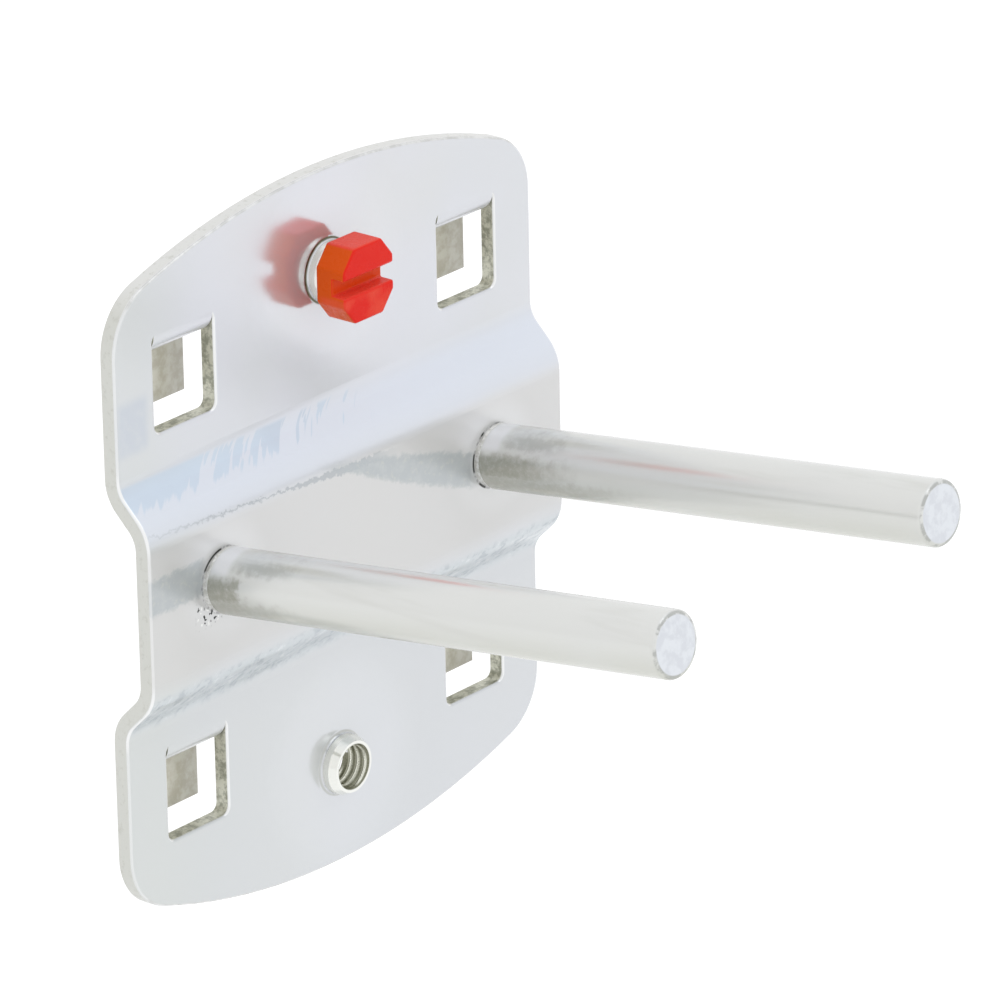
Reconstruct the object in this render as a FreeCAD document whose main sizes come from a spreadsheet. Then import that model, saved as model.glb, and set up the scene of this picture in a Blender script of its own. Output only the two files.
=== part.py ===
# Pegboard hook: a joggled sheet plate that hangs by four rear hooks, two welded pins
# and a plastic screw that locks the plate on the panel.
# X is across, Y runs from the front (-) to the panel (+), Z is up. The flanges' rear face,
# which lies on the panel, is the plane Y = 0. The origin is the middle of the plate.
import FreeCAD
import Part
import Sketcher
import math
import os

# alias, value or formula, meaning. Millimetres and degrees.
SIZES = [
    ("panel_pitch", "38", "distance between the panel's holes, across and up"),
    ("side_land", "5.05", "sheet between a window and the plate's side"),
    ("top_land", "8.7", "sheet between the bend of an upper hook and the top of the dome"),
    ("sheet_thickness", "1.5", "sheet"),
    ("dome_radius", "75", "upper and lower edges"),
    ("corner_radius", "6", "plate corners"),
    ("edge_rounding", "0.3", "rounding of the front edges"),
    ("band_offset", "3.25", "the band stands this far in front of the flanges"),
    ("band_flat", "6.2", "half height of the band's flat part"),
    ("bend_radius", "2.5", "inside radius of the four bends"),
    ("bend_angle", "45", "slope between band and flange"),
    ("blank_margin", "3", "stock around the outline before it is trimmed"),
    ("window_width", "7.9", "window across"),
    ("window_height", "9", "lower edge of a window to the bend of its hook"),
    ("window_low", "15", "lower edge of the upper windows above the middle"),
    ("window_corner", "0.8", "window corners"),
    ("tab_clearance", "0.15", "gap between a hook's neck and the window's side"),
    ("hook_gap", "2", "rear face to the hook's lip, the panel goes in here"),
    ("hook_radius", "0.5", "inside radius of the hook's two bends"),
    ("hook_root", "1", "the hook's sheet runs this far up into the flange"),
    ("lip_rise", "1.1", "lower edge of a window to the end of its hook's lip"),
    ("collar_land", "9.4", "axis of a drawn collar to the top of the dome"),
    ("collar_height", "1.6", "collar in front of the flange"),
    ("collar_radius", "2.75", "collar outside"),
    ("collar_root", "0.4", "rounding where the collar leaves the sheet"),
    ("mouth_taper", "0.35", "step in at the collar's mouth, on the radius"),
    ("mouth_depth", "0.7", "length of that step"),
    ("bore_radius", "2.1", "bore of the collars"),
    ("funnel_radius", "0.8", "rounding of the bore at the rear face"),
    ("pin_radius", "3", "round pins"),
    ("pin_length", "50", "free length of a pin along its axis"),
    ("pin_inset", "0.6", "a pin's foot stands this far inside the middle of its windows"),
    ("pin_height", "1", "pins' feet above the middle"),
    ("pin_tilt", "7", "rise of the pins toward their free ends"),
    ("foot_stock", "3", "pin stock behind the band before the foot is cut flat"),
    ("neck_length", "0.65", "slim neck at a pin's foot, beside the weld"),
    ("neck_step", "0.2", "the neck is this much slimmer, on the radius"),
    ("pin_rounding", "0.4", "rounding of a pin's free end"),
    ("head_flats", "6.9", "hexagon from its top flat to its bottom flat"),
    ("corner_cut", "0.63", "cut off each of the two corners where the slot ends"),
    ("head_height", "3.2", "screw head"),
    ("head_chamfer", "0.3", "chamfer of the head's edges"),
    ("slot_width", "1.6", "screw slot"),
    ("slot_depth", "1.4", "screw slot"),
    ("screw_clearance", "0.05", "gap between shank and bore, on the radius"),
    ("tip_reach", "1.2", "shank past the flange's rear face"),
    ("tip_chamfer", "0.4", "chamfer of the shank's end"),
    ("plate_width", "=panel_pitch + window_width + 2 * side_land", "plate across"),
    ("plate_height", "=2 * (hook_bend + top_land)", "plate from the top to the bottom of its domes"),
    ("half_width", "=plate_width / 2", "side of the plate"),
    ("blank_width", "=plate_width + 2 * blank_margin", "stock across"),
    ("blank_height", "=plate_height + 2 * blank_margin", "stock up"),
    ("half_blank", "=blank_height / 2", "stock above the middle"),
    ("outer_bend", "=bend_radius + sheet_thickness", "outside radius of the four bends"),
    ("dome_centre", "=dome_radius - plate_height / 2", "dome centres from the middle"),
    ("window_outer", "=(panel_pitch + window_width) / 2", "outer sides of the windows"),
    ("window_drop", "=panel_pitch - window_low", "lower edge of the lower windows below the middle"),
    ("hook_across", "=panel_pitch / 2", "middle of a hook"),
    ("hook_width", "=window_width - 2 * tab_clearance", "hook across"),
    ("hook_outer", "=hook_radius + sheet_thickness", "outside radius of the hook's bends"),
    ("hook_bend", "=window_low + window_height", "the bend of the upper hooks begins here"),
    ("lip_end", "=window_low + lip_rise", "lower end of the upper hooks"),
    ("collar_rise", "=plate_height / 2 - collar_land", "collar axes from the middle"),
    ("collar_reach", "=collar_height + sheet_thickness", "collar mouth in front of the rear face"),
    ("band_front", "=band_offset + sheet_thickness", "front face of the band"),
    ("pin_side", "=hook_across - pin_inset", "pin from the middle"),
    ("neck_radius", "=pin_radius - neck_step", "neck at a pin's foot"),
    ("neck_rise", "=neck_length * sin(pin_tilt * 1 deg)", "end of the neck above its foot"),
    ("neck_reach", "=neck_length * cos(pin_tilt * 1 deg)", "end of the neck in front of its foot"),
    ("stem_length", "=pin_length - neck_length", "pin in front of its neck"),
    ("foot_cut", "=pin_radius * 1.5", "half size of the tool that cuts the foot flat"),
    ("shank_radius", "=bore_radius - screw_clearance", "screw shank"),
    ("shank_length", "=collar_reach + tip_reach", "screw shank"),
    ("half_slot", "=slot_width / 2", "side of the screw slot"),
    ("half_flats", "=head_flats / 2", "top and bottom flats from the axis"),
    ("half_head", "=half_flats / cos(30 deg) - corner_cut", "cut corners from the axis"),
    ("flat_reach", "=half_flats * tan(30 deg)", "end of the top flat from the middle"),
    ("cheek_rise", "=corner_cut * tan(60 deg)", "end of a cut corner above the axis"),
]

document = FreeCAD.newDocument("PegboardHook")
sheet = document.addObject("Spreadsheet::Sheet", "size")
for row, (alias, value, meaning) in enumerate(SIZES, start=1):
    sheet.set(f"A{row}", alias)
    sheet.set(f"B{row}", value)
    sheet.set(f"C{row}", meaning)
    sheet.setAlias(f"B{row}", alias)
document.recompute()


def size(alias):
    """Value of one cell, used to place geometry near its final position."""
    return float(getattr(sheet, alias))


def bind(item, **links):
    """Tie properties of an object to cells of the sheet."""
    for name, alias in links.items():
        item.setExpression(name, f"size.{alias}")


def new_body(name):
    body = document.addObject("PartDesign::Body", name)
    body.Label = name
    return body


def plane_of(body, role):
    return next(item for item in body.Origin.OriginFeatures if item.Role == role)


def new_sketch(body, name, role, lift=None):
    """Sketch on one of the body's own planes, lifted along its normal by a cell's value."""
    sketch = body.newObject("Sketcher::SketchObject", name)
    sketch.AttachmentSupport = [(plane_of(body, role), "")]
    sketch.MapMode = "FlatFace"
    if lift:
        sketch.setExpression(".AttachmentOffset.Base.z", f"size.{lift}")
    return sketch


def add_line(sketch, start, end):
    return sketch.addGeometry(Part.LineSegment(FreeCAD.Vector(*start), FreeCAD.Vector(*end)))


def add_circle(sketch, centre, radius):
    normal = FreeCAD.Vector(0, 0, 1)
    return sketch.addGeometry(Part.Circle(FreeCAD.Vector(*centre), normal, radius))


def add_arc(sketch, centre, radius, first, last):
    """Arc counterclockwise between two angles in degrees."""
    circle = Part.Circle(FreeCAD.Vector(*centre), FreeCAD.Vector(0, 0, 1), radius)
    return sketch.addGeometry(Part.ArcOfCircle(circle, math.radians(first), math.radians(last)))


def limit(sketch, kind, *refs):
    sketch.addConstraint(Sketcher.Constraint(kind, *refs))


def dimension(sketch, kind, alias, *refs):
    """Dimension that follows one cell of the sheet."""
    value = math.radians(size(alias)) if kind == "Angle" else size(alias)
    index = sketch.addConstraint(Sketcher.Constraint(kind, *refs, value))
    sketch.setExpression(f"Constraints[{index}]", f"size.{alias}")


def join(sketch, kind, first, second):
    """Join the nearest ends of two pieces, kind is Coincident or Tangent."""
    ends = [(a, b) for a in (1, 2) for b in (1, 2)]
    gaps = [(sketch.getPoint(first, a) - sketch.getPoint(second, b)).Length for a, b in ends]
    a, b = ends[gaps.index(min(gaps))]
    limit(sketch, kind, first, a, second, b)


def chain(sketch, pieces, sharp=()):
    """Close a loop: tangent joints, except after the pieces listed in sharp."""
    for place, piece in enumerate(pieces):
        follower = pieces[(place + 1) % len(pieces)]
        join(sketch, "Coincident" if piece in sharp else "Tangent", piece, follower)


def new_pad(body, name, sketch, length, side="One side", reverse=False):
    pad = body.newObject("PartDesign::Pad", name)
    pad.Profile = sketch
    pad.SideType = side
    pad.Reversed = reverse
    bind(pad, Length=length)
    return pad


def new_pocket(body, name, sketch, depth=None, side="One side"):
    """Pocket of a given depth, or through everything."""
    pocket = body.newObject("PartDesign::Pocket", name)
    pocket.Profile = sketch
    pocket.SideType = side
    if depth:
        bind(pocket, Length=depth)
    else:
        pocket.Type = "ThroughAll"
    return pocket


def dress(body, kind, name, base, edges, **links):
    """Fillet or chamfer on the edges of the last feature."""
    feature = body.newObject(f"PartDesign::{kind}", name)
    feature.Base = (base, edges)
    bind(feature, **links)
    return feature


def edges_where(feature, test):
    """Names of the edges that pass a test."""
    document.recompute()
    return [f"Edge{n}" for n, edge in enumerate(feature.Shape.Edges, start=1) if test(edge)]


def near(first, second):
    return abs(first - second) < 1e-4


def circle_at(edge, radius, depth):
    """Full or part circle of this radius in the plane Y = -depth."""
    if not isinstance(edge.Curve, Part.Circle):
        return False
    flat = edge.BoundBox.YLength < 1e-4
    return flat and near(edge.Curve.Radius, radius) and near(edge.Curve.Center.y, -depth)


# Plate, step 1: half of the joggled section, padded across and mirrored about the middle.
plate = new_body("plate")
section = new_sketch(plate, "half_section", "YZ_Plane")
flat = size("band_flat")
top = size("half_blank")
front = size("band_front")
rear = size("band_offset")
skin = size("sheet_thickness")
inner = size("bend_radius")
outer = size("outer_bend")
slope = size("bend_angle")
turn = math.radians(slope)
slope_run = rear - (inner + outer) * (1 - math.cos(turn))
rise = (inner + outer) * math.sin(turn) + slope_run / math.tan(turn)
near_centre = (outer - front, flat)
far_centre = (-skin - inner, flat + rise)


def on_arc(centre, radius, degrees):
    angle = math.radians(degrees)
    return (centre[0] + radius * math.cos(angle), centre[1] + radius * math.sin(angle))


band_face = add_line(section, (-front, 0), (-front, flat))
near_outer = add_arc(section, near_centre, outer, 180 - slope, 180)
slope_face = add_line(section, on_arc(near_centre, outer, 180 - slope), on_arc(far_centre, inner, -slope))
far_inner = add_arc(section, far_centre, inner, -slope, 0)
flange_face = add_line(section, (-skin, flat + rise), (-skin, top))
section_top = add_line(section, (-skin, top), (0, top))
flange_rear = add_line(section, (0, top), (0, flat + rise))
far_outer = add_arc(section, far_centre, outer, -slope, 0)
slope_rear = add_line(section, on_arc(far_centre, outer, -slope), on_arc(near_centre, inner, 180 - slope))
near_inner = add_arc(section, near_centre, inner, 180 - slope, 180)
band_rear = add_line(section, (-rear, flat), (-rear, 0))
section_foot = add_line(section, (-rear, 0), (-front, 0))
chain(section, [band_face, near_outer, slope_face, far_inner, flange_face, section_top,
                flange_rear, far_outer, slope_rear, near_inner, band_rear, section_foot],
      sharp=(flange_face, section_top, band_rear, section_foot))
for line in (band_face, flange_face, flange_rear, band_rear):
    limit(section, "Vertical", line)
for line in (section_top, section_foot):
    limit(section, "Horizontal", line)
limit(section, "Coincident", near_outer, 3, near_inner, 3)
limit(section, "Coincident", far_inner, 3, far_outer, 3)
limit(section, "PointOnObject", band_face, 1, -1)
limit(section, "PointOnObject", flange_rear, 1, -2)
dimension(section, "Radius", "outer_bend", near_outer)
dimension(section, "Radius", "bend_radius", far_inner)
dimension(section, "Angle", "bend_angle", slope_face, 1, band_face, 1)
dimension(section, "Distance", "sheet_thickness", section_top)
dimension(section, "Distance", "sheet_thickness", section_foot)
dimension(section, "DistanceX", "band_offset", band_rear, 2, -1, 1)
dimension(section, "Distance", "band_flat", band_face)
dimension(section, "DistanceY", "half_blank", -1, 1, flange_rear, 1)
half = new_pad(plate, "upper_half", section, "blank_width", side="Symmetric")
whole = plate.newObject("PartDesign::Mirrored", "lower_half")
whole.Originals = [half]
whole.MirrorPlane = (plane_of(plate, "XY_Plane"), [""])
plate.Tip = whole

# Plate, step 2: everything outside the domed outline is trimmed away.
trim = new_sketch(plate, "domed_outline", "XZ_Plane")
wide = size("half_width")
dome = size("dome_radius")
corner = size("corner_radius")
dome_middle = size("dome_centre")
corner_x = wide - corner
corner_z = math.sqrt((dome - corner) ** 2 - corner_x ** 2) - dome_middle
lean = math.degrees(math.atan2(corner_z + dome_middle, corner_x))
domes = []
corners = []
for up in (1, -1):
    first, last = (lean, 180 - lean) if up > 0 else (180 + lean, 360 - lean)
    domes.append(add_arc(trim, (0, -up * dome_middle), dome, first, last))
    right = (0, lean) if up > 0 else (-lean, 0)
    left = (180 - lean, 180) if up > 0 else (180, 180 + lean)
    corners.append(add_arc(trim, (corner_x, up * corner_z), corner, *right))
    corners.append(add_arc(trim, (-corner_x, up * corner_z), corner, *left))
right_side = add_line(trim, (wide, -corner_z), (wide, corner_z))
left_side = add_line(trim, (-wide, -corner_z), (-wide, corner_z))
chain(trim, [right_side, corners[0], domes[0], corners[1],
             left_side, corners[3], domes[1], corners[2]])
for line in (right_side, left_side):
    limit(trim, "Vertical", line)
for arc in corners[1:]:
    limit(trim, "Equal", corners[0], arc)
limit(trim, "Equal", domes[0], domes[1])
for arc in domes:
    limit(trim, "PointOnObject", arc, 3, -2)
dimension(trim, "Radius", "corner_radius", corners[0])
dimension(trim, "Radius", "dome_radius", domes[0])
dimension(trim, "DistanceX", "half_width", -1, 1, right_side, 2)
dimension(trim, "DistanceX", "half_width", left_side, 2, -1, 1)
dimension(trim, "DistanceY", "dome_centre", domes[0], 3, -1, 1)
dimension(trim, "DistanceY", "dome_centre", -1, 1, domes[1], 3)
stock_x = size("blank_width")
stock_z = size("blank_height")
stock = [(-stock_x, -stock_z), (stock_x, -stock_z), (stock_x, stock_z), (-stock_x, stock_z)]
frame = [add_line(trim, stock[n], stock[(n + 1) % 4]) for n in range(4)]
chain(trim, frame, sharp=frame)
for line in frame[0::2]:
    limit(trim, "Horizontal", line)
for line in frame[1::2]:
    limit(trim, "Vertical", line)
limit(trim, "Symmetric", frame[0], 1, frame[2], 1, -1, 1)
dimension(trim, "DistanceX", "blank_width", -1, 1, frame[1], 1)
dimension(trim, "DistanceY", "blank_height", -1, 1, frame[1], 2)
outline = new_pocket(plate, "trimmed_outline", trim, side="Symmetric")

# Plate, step 3: the front edge of the outline is rounded, the rear edge stays sharp.
dome_edges = edges_where(outline, lambda edge: circle_at(edge, dome, skin))
rounded = dress(plate, "Fillet", "rounded_outline", outline, dome_edges, Radius="edge_rounding")

# Plate, step 4: four windows, their front edges rounded too.
panes = new_sketch(plate, "window_loops", "XZ_Plane")
pane_wide = size("window_width")
pane_high = size("window_height")
pane_corner = size("window_corner")


def draw_window(sketch, across, low_alias, up):
    """Rounded rectangle, its outer side and lower edge measured from the middle."""
    low = up * size(low_alias)
    mid = across * size("hook_across")
    half_pane = pane_wide / 2
    right_x, left_x = mid + half_pane, mid - half_pane
    high = low + pane_high
    bottom = add_line(sketch, (left_x + pane_corner, low), (right_x - pane_corner, low))
    low_right = add_arc(sketch, (right_x - pane_corner, low + pane_corner), pane_corner, 270, 360)
    right = add_line(sketch, (right_x, low + pane_corner), (right_x, high - pane_corner))
    high_right = add_arc(sketch, (right_x - pane_corner, high - pane_corner), pane_corner, 0, 90)
    head = add_line(sketch, (right_x - pane_corner, high), (left_x + pane_corner, high))
    high_left = add_arc(sketch, (left_x + pane_corner, high - pane_corner), pane_corner, 90, 180)
    left = add_line(sketch, (left_x, high - pane_corner), (left_x, low + pane_corner))
    low_left = add_arc(sketch, (left_x + pane_corner, low + pane_corner), pane_corner, 180, 270)
    chain(sketch, [bottom, low_right, right, high_right, head, high_left, left, low_left])
    for line in (bottom, head):
        limit(sketch, "Horizontal", line)
    for line in (right, left):
        limit(sketch, "Vertical", line)
    for arc in (high_right, high_left, low_left):
        limit(sketch, "Equal", low_right, arc)
    dimension(sketch, "Radius", "window_corner", low_right)
    dimension(sketch, "DistanceX", "window_width", left, 1, right, 2)
    dimension(sketch, "DistanceY", "window_height", bottom, 2, head, 1)
    if across > 0:
        dimension(sketch, "DistanceX", "window_outer", -1, 1, right, 1)
    else:
        dimension(sketch, "DistanceX", "window_outer", left, 1, -1, 1)
    if up > 0:
        dimension(sketch, "DistanceY", low_alias, -1, 1, bottom, 1)
    else:
        dimension(sketch, "DistanceY", low_alias, bottom, 1, -1, 1)


for across in (-1, 1):
    draw_window(panes, across, "window_low", 1)
    draw_window(panes, across, "window_drop", -1)
windows = new_pocket(plate, "windows", panes, side="Symmetric")


def window_sill(edge):
    """Front edge along the bottom of a window."""
    box = edge.BoundBox
    straight = isinstance(edge.Curve, Part.Line) and near(box.ZLength, 0)
    low = near(box.ZMin, size("window_low")) or near(box.ZMin, -size("window_drop"))
    return straight and low and near(box.YMin, -skin) and near(box.YMax, -skin)


sills = edges_where(windows, window_sill)
soft = dress(plate, "Fillet", "rounded_windows", windows, sills, Radius="edge_rounding")

# Plate, step 5: one hook, bent back from the top of its window and down, then patterned.
bent = new_sketch(plate, "hook_section", "YZ_Plane", lift="hook_across")
gap = size("hook_gap")
tight = size("hook_radius")
loose = size("hook_outer")
bend = size("hook_bend")
root = bend + size("hook_root")
end = size("lip_end")
neck_top = bend - tight
neck_low = bend - loose
lip_rear = gap + skin
root_rear = add_line(bent, (0, root), (0, bend))
first_inner = add_arc(bent, (tight, bend), tight, 180, 270)
neck_upper = add_line(bent, (tight, neck_top), (lip_rear - loose, neck_top))
second_outer = add_arc(bent, (lip_rear - loose, neck_top - loose), loose, 0, 90)
lip_back = add_line(bent, (lip_rear, neck_top - loose), (lip_rear, end))
lip_edge = add_line(bent, (lip_rear, end), (gap, end))
lip_front = add_line(bent, (gap, end), (gap, neck_low - tight))
second_inner = add_arc(bent, (gap - tight, neck_low - tight), tight, 0, 90)
neck_lower = add_line(bent, (gap - tight, neck_low), (tight, neck_low))
first_outer = add_arc(bent, (tight, bend), loose, 180, 270)
root_front = add_line(bent, (-skin, bend), (-skin, root))
root_top = add_line(bent, (-skin, root), (0, root))
chain(bent, [root_rear, first_inner, neck_upper, second_outer, lip_back, lip_edge, lip_front,
             second_inner, neck_lower, first_outer, root_front, root_top],
      sharp=(lip_back, lip_edge, root_front, root_top))
for line in (root_rear, lip_back, lip_front, root_front):
    limit(bent, "Vertical", line)
for line in (neck_upper, lip_edge, neck_lower, root_top):
    limit(bent, "Horizontal", line)
limit(bent, "Coincident", first_inner, 3, first_outer, 3)
limit(bent, "Coincident", second_inner, 3, second_outer, 3)
limit(bent, "PointOnObject", root_rear, 1, -2)
dimension(bent, "Radius", "hook_radius", first_inner)
dimension(bent, "Radius", "hook_outer", first_outer)
dimension(bent, "Radius", "hook_radius", second_inner)
dimension(bent, "DistanceX", "hook_gap", -1, 1, lip_front, 1)
dimension(bent, "DistanceY", "hook_bend", -1, 1, root_rear, 2)
dimension(bent, "DistanceY", "hook_root", root_rear, 2, root_rear, 1)
dimension(bent, "DistanceY", "lip_end", -1, 1, lip_front, 1)
hook = new_pad(plate, "hook", bent, "hook_width", side="Symmetric")
hooks = plate.newObject("PartDesign::MultiTransform", "four_hooks")
hooks.Originals = [hook]
steps = []
for name, role in (("hooks_across", "X_Axis"), ("hooks_down", "Z_Axis")):
    step = plate.newObject("PartDesign::LinearPattern", name)
    step.Direction = (plane_of(plate, role), [""])
    step.Reversed = True
    step.Occurrences = 2
    bind(step, Length="panel_pitch")
    steps.append(step)
hooks.Transformations = steps
plate.Tip = hooks

# Plate, step 6: the two collars, drawn from the sheet toward the front.
rings = new_sketch(plate, "collar_rounds", "XZ_Plane")
holes = new_sketch(plate, "collar_bores", "XZ_Plane")
raised = size("collar_rise")
for sketch, alias in ((rings, "collar_radius"), (holes, "bore_radius")):
    for up in (1, -1):
        ring = add_circle(sketch, (0, up * raised), size(alias))
        limit(sketch, "PointOnObject", ring, 3, -2)
        dimension(sketch, "Radius", alias, ring)
        if up > 0:
            dimension(sketch, "DistanceY", "collar_rise", -1, 1, ring, 3)
        else:
            dimension(sketch, "DistanceY", "collar_rise", ring, 3, -1, 1)
collars = new_pad(plate, "collars", rings, "collar_reach")
roots = edges_where(collars, lambda edge: circle_at(edge, size("collar_radius"), skin))
rooted = dress(plate, "Fillet", "collar_roots", collars, roots, Radius="collar_root")
reach = size("collar_reach")
rims = edges_where(rooted, lambda edge: circle_at(edge, size("collar_radius"), reach))
stepped = plate.newObject("PartDesign::Chamfer", "collar_mouths")
stepped.Base = (rooted, rims)
stepped.ChamferType = "Two distances"
bind(stepped, Size="mouth_depth", Size2="mouth_taper")
bores = new_pocket(plate, "bores", holes, side="Symmetric")
throats = edges_where(bores, lambda edge: circle_at(edge, size("bore_radius"), 0))
finished = dress(plate, "Fillet", "bore_funnels", bores, throats, Radius="funnel_radius")
plate.Tip = finished


def pin_circle(body, name, radius, rise=None, reach=None):
    """Circle round the pin's axis, which leans back by the tilt, at the foot or further out."""
    sketch = new_sketch(body, name, "XZ_Plane")
    lean = FreeCAD.Rotation(FreeCAD.Vector(1, 0, 0), -size("pin_tilt"))
    sketch.AttachmentOffset = FreeCAD.Placement(FreeCAD.Vector(0, 0, 0), lean)
    sketch.setExpression(".AttachmentOffset.Rotation.Angle", "-size.pin_tilt")
    if rise:
        sketch.setExpression(".AttachmentOffset.Base.y", f"size.{rise}")
        sketch.setExpression(".AttachmentOffset.Base.z", f"size.{reach}")
    ring = add_circle(sketch, (0, 0), size(radius))
    limit(sketch, "Coincident", ring, 3, -1, 1)
    dimension(sketch, "Radius", radius, ring)
    return sketch


def make_pin(name, across):
    """Round pin with its foot cut flat to sit on the band, rising toward its free end."""
    body = new_body(name)
    body.setExpression(".Placement.Base.x", f"{across} * size.pin_side")
    body.setExpression(".Placement.Base.y", "-size.band_front")
    body.setExpression(".Placement.Base.z", "size.pin_height")
    neck_round = pin_circle(body, f"{name}_neck_round", "neck_radius")
    neck = new_pad(body, f"{name}_neck", neck_round, "neck_length", side="Two sides")
    bind(neck, Length2="foot_stock")
    stem_round = pin_circle(body, f"{name}_stem_round", "pin_radius", "neck_rise", "neck_reach")
    new_pad(body, f"{name}_stem", stem_round, "stem_length")
    saw = new_sketch(body, f"{name}_saw", "XZ_Plane")
    half_saw = size("foot_cut")
    marks = [(-half_saw, -half_saw), (half_saw, -half_saw), (half_saw, half_saw), (-half_saw, half_saw)]
    sides = [add_line(saw, marks[n], marks[(n + 1) % 4]) for n in range(4)]
    chain(saw, sides, sharp=sides)
    for line in sides[0::2]:
        limit(saw, "Horizontal", line)
    for line in sides[1::2]:
        limit(saw, "Vertical", line)
    limit(saw, "Symmetric", sides[0], 1, sides[2], 1, -1, 1)
    dimension(saw, "DistanceX", "foot_cut", -1, 1, sides[1], 1)
    dimension(saw, "DistanceY", "foot_cut", -1, 1, sides[1], 2)
    foot = new_pocket(body, f"{name}_foot", saw)
    rim = edges_where(foot, lambda edge: edge.BoundBox.YMax < -size("pin_length") / 2)
    body.Tip = dress(body, "Fillet", f"{name}_end", foot, rim, Radius="pin_rounding")
    return body


pin_left = make_pin("pin_left", -1)
pin_right = make_pin("pin_right", 1)

# Locking screw: slotted hexagon head on the upper collar's rim, shank through the bore.
screw = new_body("locking_screw")
screw.setExpression(".Placement.Base.y", "-size.collar_reach")
screw.setExpression(".Placement.Base.z", "size.collar_rise")
hexagon = new_sketch(screw, "head_outline", "XZ_Plane")
flats = size("half_flats")
cheek = size("half_head")
reach_x = size("flat_reach")
cheek_z = size("cheek_rise")
right_half = [(cheek, -cheek_z), (cheek, cheek_z), (reach_x, flats)]
points = right_half + [(-x, z) for x, z in reversed(right_half)]
points += [(-reach_x, -flats), (reach_x, -flats)]
hex_sides = [add_line(hexagon, points[n], points[(n + 1) % 8]) for n in range(8)]
right_cheek, upper_right, top_flat, upper_left, left_cheek, lower_left, low_flat, lower_right = hex_sides
chain(hexagon, hex_sides, sharp=hex_sides)
for line in (top_flat, low_flat):
    limit(hexagon, "Symmetric", line, 1, line, 2, -2)
for line in (right_cheek, left_cheek):
    limit(hexagon, "Symmetric", line, 1, line, 2, -1)
limit(hexagon, "Symmetric", top_flat, 1, low_flat, 1, -1, 1)
limit(hexagon, "Symmetric", right_cheek, 1, left_cheek, 1, -1, 1)
dimension(hexagon, "DistanceY", "half_flats", -1, 1, top_flat, 1)
dimension(hexagon, "DistanceX", "flat_reach", -1, 1, top_flat, 1)
dimension(hexagon, "DistanceX", "half_head", -1, 1, right_cheek, 1)
dimension(hexagon, "DistanceY", "cheek_rise", -1, 1, right_cheek, 2)
head = new_pad(screw, "head", hexagon, "head_height")
tall = size("head_height")
rim_edges = edges_where(head, lambda edge: near(edge.BoundBox.YMin, edge.BoundBox.YMax))
softened = dress(screw, "Chamfer", "head_chamfers", head, rim_edges, Size="head_chamfer")
groove = new_sketch(screw, "slot_outline", "XZ_Plane", lift="head_height")
slot_x = size("head_flats")
slot_z = size("half_slot")
slot_marks = [(-slot_x, -slot_z), (slot_x, -slot_z), (slot_x, slot_z), (-slot_x, slot_z)]
slot_sides = [add_line(groove, slot_marks[n], slot_marks[(n + 1) % 4]) for n in range(4)]
chain(groove, slot_sides, sharp=slot_sides)
for line in slot_sides[0::2]:
    limit(groove, "Horizontal", line)
for line in slot_sides[1::2]:
    limit(groove, "Vertical", line)
limit(groove, "Symmetric", slot_sides[0], 1, slot_sides[2], 1, -1, 1)
dimension(groove, "DistanceX", "head_flats", -1, 1, slot_sides[1], 1)
dimension(groove, "DistanceY", "half_slot", -1, 1, slot_sides[1], 2)
slotted = new_pocket(screw, "slot", groove, depth="slot_depth")
stem_round = new_sketch(screw, "shank_round", "XZ_Plane")
stem_ring = add_circle(stem_round, (0, 0), size("shank_radius"))
limit(stem_round, "Coincident", stem_ring, 3, -1, 1)
dimension(stem_round, "Radius", "shank_radius", stem_ring)
shank = new_pad(screw, "shank", stem_round, "shank_length", reverse=True)
tip_edges = edges_where(shank, lambda edge: near(edge.BoundBox.YMin, size("shank_length")))
screw.Tip = dress(screw, "Chamfer", "shank_tip", shank, tip_edges, Size="tip_chamfer")

document.recompute()
for item in document.Objects:
    faults = [word for word in item.State if word in ("Invalid", "Error")]
    if faults:
        raise RuntimeError(f"{item.Name} did not compute: {faults}")
    if item.isDerivedFrom("Sketcher::SketchObject") and not item.FullyConstrained:
        raise RuntimeError(f"{item.Name} is not fully constrained")
for cut in (outline, windows, bores, slotted):
    if cut.Shape.Volume >= cut.BaseFeature.Shape.Volume - 1e-3:
        raise RuntimeError(f"{cut.Name} removed nothing")

os.makedirs("parts", exist_ok=True)
for body in (plate, pin_left, pin_right, screw):
    shape = body.Shape
    if shape.isNull() or not shape.isValid() or len(shape.Solids) != 1:
        raise RuntimeError(f"{body.Label} is not one valid solid")
    print(body.Label, round(shape.Volume, 2), shape.BoundBox)
    shape.exportStep(f"parts/{body.Label}.step")
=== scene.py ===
# Looks of the pegboard hook: bright zinc plate and pins, red plastic locking screw,
# tapped collars, in a white studio. Metres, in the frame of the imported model.
import math
from types import SimpleNamespace

import bmesh
import bpy
from mathutils import Matrix, Vector


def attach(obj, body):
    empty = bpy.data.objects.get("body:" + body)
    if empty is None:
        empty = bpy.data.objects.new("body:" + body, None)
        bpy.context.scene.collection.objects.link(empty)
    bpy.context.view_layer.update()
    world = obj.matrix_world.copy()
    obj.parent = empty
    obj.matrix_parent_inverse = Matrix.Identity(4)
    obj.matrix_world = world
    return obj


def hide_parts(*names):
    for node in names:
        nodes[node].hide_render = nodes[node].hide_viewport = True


MM = 0.001

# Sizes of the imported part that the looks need, in millimetres.
BAND_FRONT = 4.75
COLLAR_RISE = 23.3
COLLAR_MOUTH = 3.1
BORE_RADIUS = 2.1
PIN_SIDE = 18.4
PIN_HEIGHT = 1.0
PIN_RADIUS = 3.0
PIN_TILT = 7.0
THREAD_PITCH = 0.8
HEAD_FRONT = 6.3
HEAD_TOP = 3.45
HEAD_FLAT = 1.85
HEAD_HALF = 3.354
SLOT_WIDTH = 1.6
SLOT_DEPTH = 1.4
SHANK_RADIUS = 2.05
SHANK_END = 1.2

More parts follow.
